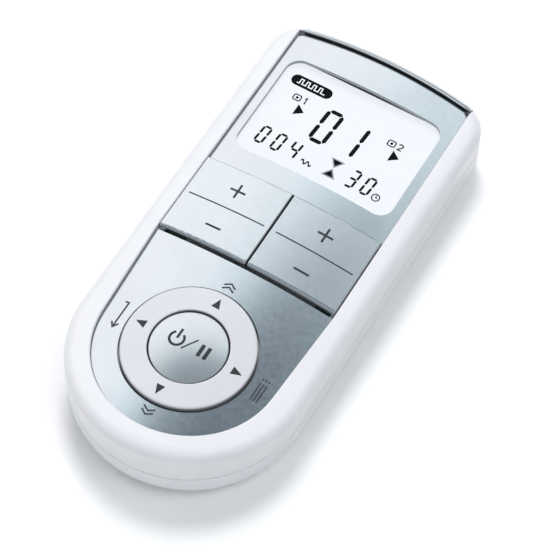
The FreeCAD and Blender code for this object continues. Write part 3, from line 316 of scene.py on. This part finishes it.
def foam(name, colour):
    """Closed-cell foam: round pores all over."""
    finish = Finish(name, colour, 0.9)
    pores = finish.cells(size_mm=0.35, output="Distance")
    finish.tint(pores, finish.shade(1.8), start=0.1, stop=0.6)
    finish.bump(pores, depth_mm=0.06)
    return finish.material


def laminate(name, colour):
    """Circuit board: green solder mask over a woven glass cloth."""
    finish = Finish(name, colour, 0.4, Coat_Weight=0.3)
    finish.tint(finish.noise(size_mm=3), finish.shade(0.8))
    weave = finish.nodes.new("ShaderNodeTexWave")
    weave.inputs["Scale"].default_value = 1.2
    weave.inputs["Distortion"].default_value = 0.4
    finish.links.new(finish.place_mm(), weave.inputs["Vector"])
    finish.tint(weave.outputs["Fac"], finish.shade(1.25), start=0.4, stop=1.0)
    finish.bump(weave.outputs["Fac"], depth_mm=0.006)
    return finish.material


def wound_tape(name, colour):
    """Yellow tape round a coil, in lapped turns."""
    finish = Finish(name, colour, 0.45)
    turns = finish.nodes.new("ShaderNodeTexWave")
    turns.bands_direction = "Z"
    turns.inputs["Scale"].default_value = 0.35
    finish.links.new(finish.place_mm(), turns.inputs["Vector"])
    finish.tint(turns.outputs["Fac"], finish.shade(0.75), start=0.7, stop=1.0)
    finish.bump(turns.outputs["Fac"], depth_mm=0.03)
    finish.roughen(finish.noise(size_mm=1.5), low=0.35, high=0.55)
    return finish.material


def paper(name, colour):
    """Label paper with fine fibres under a thin laminate."""
    finish = Finish(name, colour, 0.5)
    fibres = finish.noise(size_mm=0.12, detail=6)
    finish.tint(fibres, finish.shade(0.94))
    finish.roughen(finish.noise(size_mm=2), low=0.42, high=0.58)
    finish.bump(fibres, depth_mm=0.003)
    return finish.material


def cell_jacket(name, colour, band_colour, band_part=0.3, band_edge_mm=0.1):
    """Printed film round a cell: a dark band over one end of it and a plain colour over the rest."""
    finish = Finish(name, colour, 0.25, metallic=0.6, Coat_Weight=0.5)
    place = finish.nodes.new("ShaderNodeSeparateXYZ")
    finish.links.new(finish.place_mm(), place.inputs[0])
    low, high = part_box("battery_1")
    length_mm = (high.y - low.y) * MM_PER_METRE
    end_mm = low.y * MM_PER_METRE + length_mm * band_part
    finish.tint(place.outputs["Y"], band_colour, start=end_mm + band_edge_mm, stop=end_mm - band_edge_mm)
    finish.roughen(finish.noise(size_mm=3), low=0.2, high=0.32)
    finish.bump(finish.noise(size_mm=1.2), depth_mm=0.004)
    return finish.material


def clear_plastic(name, index=1.1):
    """The display window: clear, and glossy where it is seen at a slant. Its inner side doesn't mirror."""
    finish = Finish(name, (1.0, 1.0, 1.0), 0.05)
    clear = finish.nodes.new("ShaderNodeBsdfTransparent")
    gloss = finish.nodes.new("ShaderNodeBsdfGlossy")
    finish.links.new(finish.spread(finish.noise(size_mm=8), low=0.04, high=0.08),
                     gloss.inputs["Roughness"])
    fresnel = finish.nodes.new("ShaderNodeFresnel")
    fresnel.inputs["IOR"].default_value = index
    face = finish.nodes.new("ShaderNodeNewGeometry")
    outside = finish.nodes.new("ShaderNodeMix")
    finish.links.new(face.outputs["Backfacing"], outside.inputs["Factor"])
    finish.links.new(fresnel.outputs[0], outside.inputs["A"])
    outside.inputs["B"].default_value = 0
    both = finish.nodes.new("ShaderNodeMixShader")
    finish.links.new(outside.outputs["Result"], both.inputs[0])
    finish.links.new(clear.outputs[0], both.inputs[1])
    finish.links.new(gloss.outputs[0], both.inputs[2])
    finish.links.new(both.outputs[0], finish.nodes["Material Output"].inputs["Surface"])
    finish.nodes.remove(finish.shader)
    return finish.material


def display_painted_light(name, colour, painted_glow, strength):
    """The display field: even bluish white with the grain of its polariser, lit by a painted glow."""
    # Painted light: the field glows by itself, which keeps it white into the shade of its recess.
    finish = Finish(name, colour, 0.35, Specular_IOR_Level=0.0, Emission_Color=(*painted_glow, 1),
                    Emission_Strength=strength)
    finish.tint(finish.noise(size_mm=20), finish.shade(0.95))
    finish.tint(finish.cells(size_mm=0.3), finish.shade(0.98), start=0.2, stop=0.9)
    finish.roughen(finish.noise(size_mm=4), low=0.3, high=0.4)
    return finish.material


def ink(name, colour, roughness=0.55, **constants):
    """Printed ink: slightly uneven in tone and gloss."""
    finish = Finish(name, colour, roughness, **constants)
    finish.tint(finish.noise(size_mm=0.5), finish.shade(1.25))
    finish.roughen(finish.noise(size_mm=0.3), low=roughness * 0.8, high=roughness * 1.2)
    return finish.material


FINISHES = {
    "white_case": moulded("white_case", (0.79, 0.795, 0.825), roughness=0.32, Coat_Weight=0.2,
                          Coat_Roughness=0.12),
    # Every flake_paint finish below darkens its upright walls with painted shade.
    "silver_paint": flake_paint("silver_paint", (0.745, 0.80, 0.835), roughness=0.2, metallic=0.95),
    "clear_window": clear_plastic("clear_window"),
    # The display field glows with painted light.
    "display_glass": display_painted_light("display_glass", (0.12, 0.125, 0.13), painted_glow=(0.91, 0.945, 1.0),
                                   strength=0.86),
    "foam": foam("foam", (0.05, 0.05, 0.06)),
    "holder_plastic": moulded("holder_plastic", (0.82, 0.83, 0.86), roughness=0.5),
    "diffuser": moulded("diffuser", (0.9, 0.93, 1.0), roughness=0.6),
    "contact_rubber": rubber("contact_rubber", (0.28, 0.28, 0.33)),
    "pale_key": flake_paint("pale_key", (0.765, 0.82, 0.855), roughness=0.24, metallic=0.9,
                            painted_wall_shade=0.65),
    "bare_steel": drawn_metal("bare_steel", (0.62, 0.62, 0.64), roughness=0.3),
    "ring_silver": flake_paint("ring_silver", (0.69, 0.705, 0.735), roughness=0.36, metallic=0.15),
    "silicone": rubber("silicone", (0.52, 0.54, 0.58)),
    "button_silver": flake_paint("button_silver", (0.76, 0.81, 0.84), roughness=0.31, metallic=0.85),
    "board_laminate": laminate("board_laminate", (0.03, 0.2, 0.09)),
    "coil_tape": wound_tape("coil_tape", (0.72, 0.54, 0.08)),
    "capacitor_can": drawn_metal("capacitor_can", (0.2, 0.22, 0.3), roughness=0.35),
    "chip_black": moulded("chip_black", (0.03, 0.03, 0.034), roughness=0.6),
    "socket_black": moulded("socket_black", (0.035, 0.035, 0.04), roughness=0.4),
    "label_paper": paper("label_paper", (0.74, 0.76, 0.79)),
    "cell_jacket": cell_jacket("cell_jacket", (0.12, 0.25, 0.46), band_colour=(0.03, 0.035, 0.04)),
    "nickel": drawn_metal("nickel", (0.72, 0.70, 0.66), roughness=0.22),
}

for part in frame["record"]["subparts"]:
    for material_slot in frame["nodes"][part["node"]].material_slots:
        material_slot.material = FINISHES[part["material_slot"]]

sign_ink = ink("sign_ink", (0.035, 0.04, 0.045), Specular_IOR_Level=0.2)
word_ink = ink("word_ink", (0.06, 0.065, 0.075), Specular_IOR_Level=0.2)
display_black = ink("display_black", (0.006, 0.007, 0.009), roughness=0.4, Specular_IOR_Level=0.0)
display_pale = ink("display_pale", (0.85, 0.88, 0.92), roughness=0.4, Specular_IOR_Level=0.0)
display_grey = ink("display_grey", (0.30, 0.32, 0.35), roughness=0.4, Specular_IOR_Level=0.0)


# ---------------------------------------------------------------- picture on the display

display = Surface("lcd_glass")
display_middle = middle_of("display_window")


def show(name, shapes, finish=display_black, thickness=INK_MM):
    """Puts figures on the display. Their points are millimetres from the middle of the window."""
    placed = all_moved(shapes, display_middle.x, display_middle.y)
    lay_ink(name, placed, display, "case", finish, thickness)


SEGMENTS_LIT = {
    "0": "abcdef",
    "1": "bc",
    "3": "abgcd",
    "4": "fgbc",
}
# How far a bar stays away from each corner of its digit, as a part of its own width.
SEGMENT_GAP = 0.12
BIG_DIGITS = {"wide": 5.1, "high": 11.4, "width": 1.15, "slant": 0.06}
SMALL_DIGITS = {"wide": 2.7, "high": 5.9, "width": 0.66, "slant": 0.09}


def segment(start, end, width):
    """One bar of a digit, with pointed ends that leave a narrow gap to the next bar."""
    along = (Vector(end) - Vector(start)).normalized()
    side = Vector((-along.y, along.x)) * width / 2
    tip_a = Vector(start) + along * width * SEGMENT_GAP
    tip_b = Vector(end) - along * width * SEGMENT_GAP
    shoulder = along * width / 2
    outline = [tip_a, tip_a + shoulder - side, tip_b - shoulder - side,
               tip_b, tip_b - shoulder + side, tip_a + shoulder + side]
    return [tuple(point) for point in outline]


def digit(character, left, bottom, wide, high, width, slant):
    """The lit bars of one seven-bar digit, with its outer size and the width of a bar."""
    half = width / 2
    corners = {}
    for row, y in (("low", half), ("mid", high / 2), ("high", high - half)):
        for column, x in (("left", half), ("right", wide - half)):
            corners[row, column] = (x, y)
    bars = {
        "a": (corners["high", "left"], corners["high", "right"]),
        "b": (corners["mid", "right"], corners["high", "right"]),
        "c": (corners["low", "right"], corners["mid", "right"]),
        "d": (corners["low", "left"], corners["low", "right"]),
        "e": (corners["low", "left"], corners["mid", "left"]),
        "f": (corners["mid", "left"], corners["high", "left"]),
        "g": (corners["mid", "left"], corners["mid", "right"]),
    }
    shapes = []
    for name in SEGMENTS_LIT[character]:
        outline = segment(*bars[name], width)
        shapes.append([(left + x + y * slant, bottom + y) for x, y in outline])
    return shapes


def number(text, left, bottom, pitch, style):
    shapes = []
    for i, character in enumerate(text):
        shapes += digit(character, left + pitch * i, bottom, **style)
    return shapes


def build_digits():
    """Programme in the middle, pulse rate on the left and minutes on the right."""
    low_row = -11.2
    show("programme_number", number("01", left=-7.7, bottom=-3.6, pitch=8.1, style=BIG_DIGITS))
    show("pulse_rate_number", number("004", left=-19.5, bottom=low_row, pitch=4.75, style=SMALL_DIGITS))
    show("minutes_number", number("30", left=7.6, bottom=low_row, pitch=4.5, style=SMALL_DIGITS))


CHANNEL_NUMERALS = {
    "1": [(0.1, 1.6), (0.65, 2.05), (0.65, 0)],
    "2": [(0, 1.6), (0.3, 1.95), (0.9, 1.95), (1.2, 1.65), (1.2, 1.3), (0.1, 0.15), (1.3, 0.15)],
}


def cut_rectangle(wide, high, corner):
    """The closed outline of a rectangle with its corners cut off."""
    return [(corner, 0), (wide - corner, 0), (wide, corner), (wide, high - corner),
            (wide - corner, high), (corner, high), (0, high - corner), (0, corner), (corner, 0)]


def build_channel_signs():
    """For each channel an electrode pad with its snap, its number and the arrow of the active one."""
    pad = moved(cut_rectangle(wide=2.1, high=1.75, corner=0.3), x=0.3, y=0.15)
    snap = moved(arc(radius=0.42, first=0, last=330, steps=11), x=1.35, y=1.02)
    numeral_left = 3.3
    arrow = [(2.85, -4.2), (5.35, -2.4), (2.85, -0.6)]
    bottom = 5.35
    for channel, left in (("1", -17.5), ("2", 11.1)):
        numeral = moved(CHANNEL_NUMERALS[channel], numeral_left, 0)
        sign = stroke(pad, width=0.34) + [snap] + stroke(numeral, width=0.38)
        show(f"channel_{channel}_sign", all_moved(sign, left, bottom))
        show(f"channel_{channel}_arrow", [moved(arrow, left, bottom)])


def build_mode_pill():
    """Black pill with a pulse train, in place of the mode's name."""
    middle = (-14.55, 11.35)
    half = 4.4
    radius = 1.68
    outline = moved(arc(radius, -90, 90, 12), half, 0) + moved(arc(radius, 90, 270, 12), -half, 0)
    show("mode_pill", [moved(outline, *middle)])

    first = -3.5
    pitch = 1.9
    wide = 0.8
    high = 0.75
    wave_half = 4.2
    wave = [(-wave_half, -high)]
    for i in range(4):
        start = first + i * pitch
        wave += [(start, -high), (start, high), (start + wide, high), (start + wide, -high)]
    wave.append((wave_half, -high))
    show("mode_pulses", stroke(moved(wave, *middle), width=0.3), display_pale, OVERPRINT_MM)


def build_unit_signs():
    """A wave beside the pulse rate and a clock face beside the minutes."""
    wave_high = 0.65
    wave_step = 0.25
    steps_in_half_a_wave = 3
    wave = []
    for i in range(4 * steps_in_half_a_wave + 1):
        wave.append((i * wave_step, wave_high * math.sin(i * math.pi / steps_in_half_a_wave)))
    show("rate_sign", stroke(moved(wave, x=-5.3, y=-10.2), width=0.38))

    rim = arc(radius=1.05, first=0, last=360, steps=20)
    hands = [(0, 0.75), (0, 0), (0.55, -0.1)]
    clock = stroke(rim, width=0.32) + stroke(hands, width=0.28)
    show("minutes_sign", all_moved(clock, x=17.0, y=-10.25))


def build_hourglass():
    """Two triangles point to point, each with a grey rim round a black middle."""
    middle = (3.15, -8.1)
    half = 2.05
    high = 2.95
    rim_tip = 0.1
    core_tip = 0.75
    core_half = half * 0.66
    core_high = high - 0.35
    for name, up in (("sand_above", 1), ("sand_below", -1)):
        rim = [(0, rim_tip * up), (half, high * up), (-half, high * up)]
        core = [(0, core_tip * up), (core_half, core_high * up), (-core_half, core_high * up)]
        show(f"{name}_rim", [moved(rim, *middle)], display_grey)
        show(name, [moved(core, *middle)], display_black, OVERPRINT_MM)


build_digits()
build_channel_signs()
build_mode_pill()
build_unit_signs()
build_hourglass()


# ---------------------------------------------------------------- signs on the keys, ring and plates

KEY_SIGN_MM = 4.4
KEY_STROKE_MM = 0.6
KEY_PLUS_Y_MM = 5.75
KEY_MINUS_Y_MM = -6.45
KEY_LINE_MM = 0.36
KEY_LINE_HALF_MM = 11.2
KEY_LINE_STEPS = 8


def build_key_signs():
    """A plus and a minus on each rocker key, and the line between its two ends."""
    half = KEY_SIGN_MM / 2
    gap = KEY_STROKE_MM / 2
    minus = [bar((-half, 0), (half, 0), KEY_STROKE_MM)]
    plus = minus + [bar((0, gap), (0, half), KEY_STROKE_MM), bar((0, -half), (0, -gap), KEY_STROKE_MM)]
    steps = [2 * i / KEY_LINE_STEPS - 1 for i in range(KEY_LINE_STEPS + 1)]
    line = stroke([(KEY_LINE_HALF_MM * step, 0) for step in steps], KEY_LINE_MM)
    signs = (("plus", plus, KEY_PLUS_Y_MM), ("minus", minus, KEY_MINUS_Y_MM), ("line", line, 0))
    for channel in ("1", "2"):
        node = f"channel_{channel}_rocker"
        middle = middle_of(node)
        face = Surface(node)
        for name, shapes, y in signs:
            placed = all_moved(shapes, middle.x, middle.y + y)
            lay_ink(f"channel_{channel}_{name}", placed, face, node, sign_ink)


def build_ring_signs():
    """A triangle at each side of the direction ring, pointing outward."""
    middle = middle_of("direction_ring")
    face = Surface("direction_ring")
    inner = 12.5
    outer = 15.3
    half = 1.15
    for name, degrees in (("right", 0), ("up", 90), ("left", 180), ("down", 270)):
        triangle = turned([(inner, -half), (outer, 0), (inner, half)], degrees)
        lay_ink(f"ring_{name}_sign", [moved(triangle, middle.x, middle.y)], face,
                "direction_ring", sign_ink)


def build_button_sign():
    """Power sign, slash and pause bars on the dome."""
    middle = middle_of("power_button")
    face = Surface("power_button")
    power_stroke = 0.66
    slash_stroke = 0.4
    pause_stroke = 0.98
    power = stroke(arc(radius=1.9, first=125, last=415, steps=24), power_stroke)
    power += stroke([(0, 0.1), (0, 1.6), (0, 3.0)], power_stroke)
    shapes = all_moved(power, x=-3.6, y=0.4)
    shapes += stroke([(-1.25, -1.5), (0, 0.5), (1.35, 2.6)], slash_stroke)
    for x in (3.3, 5.05):
        shapes += stroke([(x, -1.35), (x, 0.4), (x, 2.2)], pause_stroke)
    placed = all_moved(shapes, middle.x, middle.y)
    lay_ink("power_sign", placed, face, "power_button", sign_ink)


PLATE_STROKE_MM = 0.46
CHEVRON_HALF_MM = 1.6
CHEVRON_RISE_MM = 1.0
CHEVRON_PITCH_MM = 1.1
ARROW_HALF_MM = 3.9
ARROW_HEAD_MM = 1.4
ARROW_SIDE_MM = 1.0
LIST_HALF_MM = 3.3
LIST_DASH_MM = 0.6
LIST_GAP_MM = 0.8
LIST_PITCH_MM = 0.85


def two_chevrons():
    """Two chevrons that point up, one over the other."""
    chevron = [(-CHEVRON_HALF_MM, 0), (0, CHEVRON_RISE_MM), (CHEVRON_HALF_MM, 0)]
    shapes = []
    for y in (0, -CHEVRON_PITCH_MM):
        shapes += stroke(moved(chevron, 0, y), PLATE_STROKE_MM)
    return shapes


def enter_arrow():
    """An arrow that points left, with the end of its tail turned up."""
    tip = -ARROW_HALF_MM
    neck = tip + ARROW_HEAD_MM
    shaft = [(ARROW_HALF_MM, ARROW_SIDE_MM), (ARROW_HALF_MM, 0), (tip, 0)]
    head = [(neck, ARROW_SIDE_MM), (tip, 0), (neck, -ARROW_SIDE_MM)]
    return stroke(shaft, PLATE_STROKE_MM) + stroke(head, PLATE_STROKE_MM)


def list_lines():
    """Three lines, each with a short dash before it."""
    dash_end = -LIST_HALF_MM + LIST_DASH_MM
    line_start = dash_end + LIST_GAP_MM
    shapes = []
    for y in (-LIST_PITCH_MM, 0, LIST_PITCH_MM):
        shapes += stroke([(-LIST_HALF_MM, y), (dash_end, y)], PLATE_STROKE_MM)
        shapes += stroke([(line_start, y), (LIST_HALF_MM, y)], PLATE_STROKE_MM)
    return shapes


def build_plate_signs():
    """Signs round the ring in place of words: up, down, an enter arrow and a list.

    Each has its place from the middle of the ring, and the degrees that it is turned by.
    """
    middle = middle_of("direction_ring")
    face = Surface("lower_panel")
    signs = {
        "plate_up_sign": (two_chevrons(), (-0.3, 19.9), 0),
        "plate_down_sign": (two_chevrons(), (0.5, -19.7), 180),
        "plate_enter_sign": (enter_arrow(), (-19.9, 0), 90),
        "plate_list_sign": (list_lines(), (20.7, -0.5), -90),
    }
    for name, (shapes, (x, y), degrees) in signs.items():
        rotated = [turned(shape, degrees) for shape in shapes]
        placed = all_moved(rotated, middle.x + x, middle.y + y)
        lay_ink(name, placed, face, "case", word_ink)


build_key_signs()
build_ring_signs()
build_button_sign()
build_plate_signs()


# ---------------------------------------------------------------- floor, light and camera

def build_floor():
    """A plain pale floor, which the object lies on."""
    half_side = 3.0
    mesh = bpy.data.meshes.new("floor")
    corners = [(-half_side, -half_side, 0), (half_side, -half_side, 0),
               (half_side, half_side, 0), (-half_side, half_side, 0)]
    mesh.from_pydata(corners, [], [(0, 1, 2, 3)])
    floor = bpy.data.objects.new("floor", mesh)
    bpy.context.scene.collection.objects.link(floor)
    finish = Finish("floor", (0.93, 0.93, 0.93), 0.6, Emission_Color=(1, 1, 1, 1),
                    Emission_Strength=0.03)
    finish.roughen(finish.noise(size_mm=30), low=0.55, high=0.65)
    mesh.materials.append(finish.material)


def build_world():
    """A room with dim walls, a wide bright window high at the back left and a dark ceiling with a pale
    border. The silver faces up, so it mirrors the window on its left and the ceiling on its right.
    """
    world = bpy.data.worlds.new("studio")
    world.use_nodes = True
    bpy.context.scene.world = world
    nodes = world.node_tree.nodes
    links = world.node_tree.links
    direction = nodes.new("ShaderNodeTexCoord").outputs["Generated"]

    def near(axis, outer, inner):
        """1 inside a cone about an axis and 0 outside it. The angles are in degrees."""
        along = nodes.new("ShaderNodeVectorMath")
        along.operation = "DOT_PRODUCT"
        along.inputs[1].default_value = Vector(axis).normalized()
        links.new(direction, along.inputs[0])
        edge = nodes.new("ShaderNodeMapRange")
        edge.interpolation_type = "SMOOTHSTEP"
        edge.inputs["From Min"].default_value = math.cos(math.radians(outer))
        edge.inputs["From Max"].default_value = math.cos(math.radians(inner))
        links.new(along.outputs["Value"], edge.inputs["Value"])
        return edge.outputs[0]

    def between(factor, first, second):
        """From the first colour to the second. Each is three numbers, or the output of a node."""
        mix = nodes.new("ShaderNodeMix")
        mix.data_type = "RGBA"
        links.new(factor, mix.inputs["Factor"])
        for socket, colour in (("A", first), ("B", second)):
            if isinstance(colour, tuple):
                mix.inputs[socket].default_value = (*colour, 1)
            else:
                links.new(colour, mix.inputs[socket])
        return mix.outputs["Result"]

    overhead = (0, 0, 1)
    window_middle = (-0.55, 0.56, 0.62)
    ceiling_middle = (0.0, 0.09, 1.0)
    low_window = (0.55, 0.56, 0.57)
    high_window = (1.11, 1.085, 1.105)
    dim_wall = (0.24, 0.25, 0.27)
    pale_border = (0.90, 1.06, 1.12)
    dark_ceiling = (0.055, 0.085, 0.115)
    window = between(near(overhead, outer=72, inner=52), low_window, high_window)
    walls = between(near(window_middle, outer=50, inner=36), dim_wall, window)
    border = between(near(ceiling_middle, outer=31, inner=24), walls, pale_border)
    room = between(near(ceiling_middle, outer=25, inner=21), border, dark_ceiling)
    links.new(room, nodes["Background"].inputs["Color"])


def build_lamps():
    """A soft box high at the back left, which throws the soft shadow to the front right, a weaker one
    on the right, and a low strip in front of the foot. Glossy surfaces mirror only the room."""
    lamps = {
        "soft_box": {"place": (-0.20, 0.33, 0.92), "wide": 0.30, "high": 0.30, "watts": 4.7},
        "right_fill": {"place": (0.40, 0.02, 0.90), "wide": 0.50, "high": 0.50, "watts": 2.6},
        "front_strip": {"place": (-0.06, -0.90, 0.36), "wide": 0.50, "high": 0.14, "watts": 1.7},
    }
    for name, settings in lamps.items():
        data = bpy.data.lights.new(name, "AREA")
        data.shape = "ELLIPSE"
        data.size = settings["wide"]
        data.size_y = settings["high"]
        data.energy = settings["watts"]
        lamp = bpy.data.objects.new(name, data)
        lamp.location = settings["place"]
        lamp.rotation_mode = "QUATERNION"
        lamp.rotation_quaternion = lamp.location.to_track_quat("Z", "Y")
        lamp.visible_glossy = False
        bpy.context.scene.collection.objects.link(lamp)


def build_camera():
    """A long lens, looking down on the object from the foot end and a little to the right."""
    azimuth = math.radians(30.7)
    elevation = math.radians(59.95)
    distance = 0.5625
    target = Vector((0.00978, -0.00803, 0.0225))
    back = Vector((math.sin(azimuth) * math.cos(elevation),
                   -math.cos(azimuth) * math.cos(elevation),
                   math.sin(elevation)))
    data = bpy.data.cameras.new("camera")
    data.sensor_width = 36
    data.lens = 145.16
    data.clip_start = 0.01
    camera = bpy.data.objects.new("camera", data)
    camera.location = target + back * distance
    camera.rotation_mode = "QUATERNION"
    camera.rotation_quaternion = back.to_track_quat("Z", "Y")
    bpy.context.scene.collection.objects.link(camera)
    bpy.context.scene.camera = camera


build_floor()
build_world()
build_lamps()
build_camera()
bpy.context.scene.view_settings.view_transform = "Standard"
